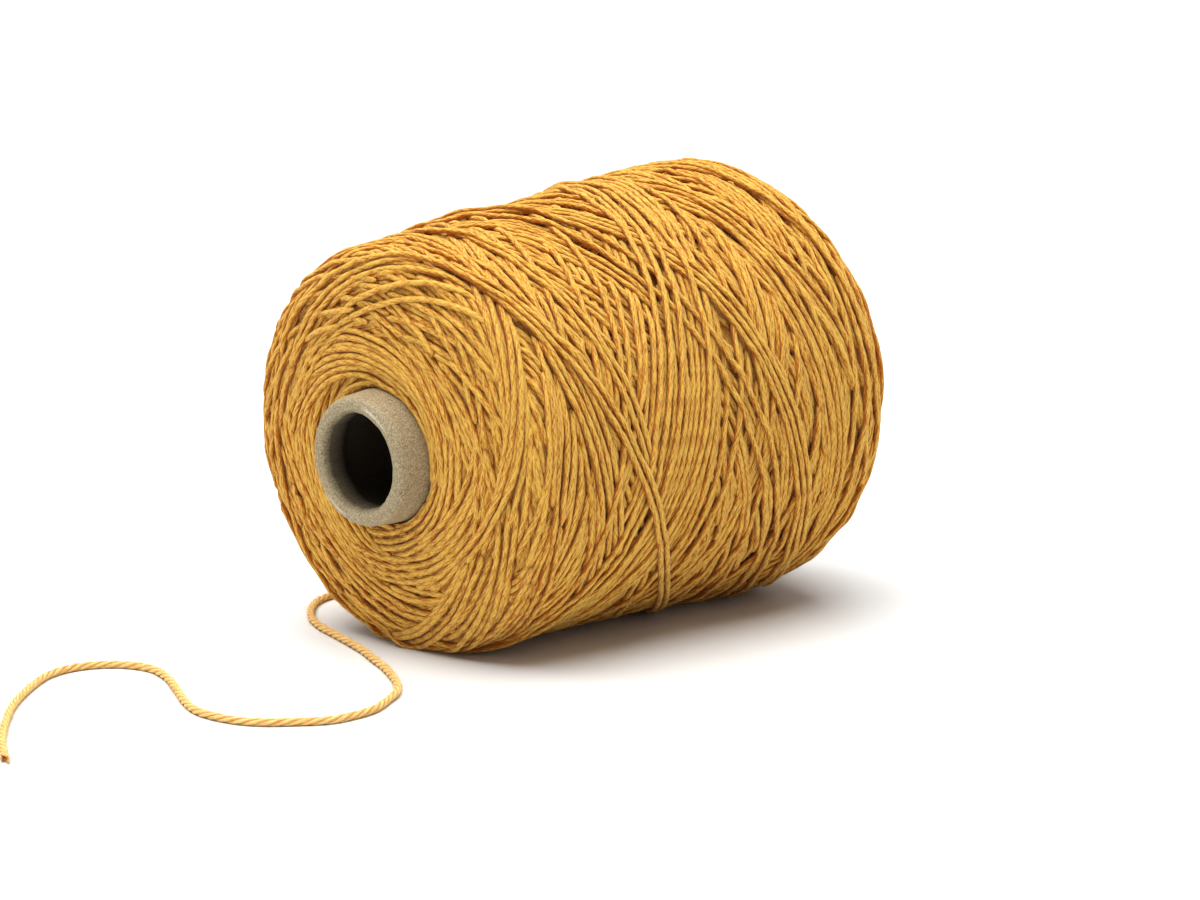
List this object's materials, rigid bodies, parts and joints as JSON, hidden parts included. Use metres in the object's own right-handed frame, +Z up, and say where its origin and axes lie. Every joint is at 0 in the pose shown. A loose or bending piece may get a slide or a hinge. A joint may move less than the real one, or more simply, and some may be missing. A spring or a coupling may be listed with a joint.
{
  "type": "cone of yarn",
  "caption": "Tapered cone of soft plied yarn wound on a paper core, lying on its side with its loose end trailing over the surface.",
  "frame": {"origin": "on the resting surface, under the middle of the wound package and its core, the loose end left out", "axes": "+Z up; the core's axis lies over the X axis and leans up by its half angle towards +X, so the small end and its nose point to -X"},
  "size_m": [0.2979, 0.1235, 0.1204],
  "materials": {
    "yarn": "soft matt plied yarn, fuzzy",
    "core": "smooth grey-brown pressed paper"
  },
  "bodies": {
    "root": {"wound_yarn": "yarn", "paper_core": "core", "loose_end": "yarn"}
  },
  "joints": []
}
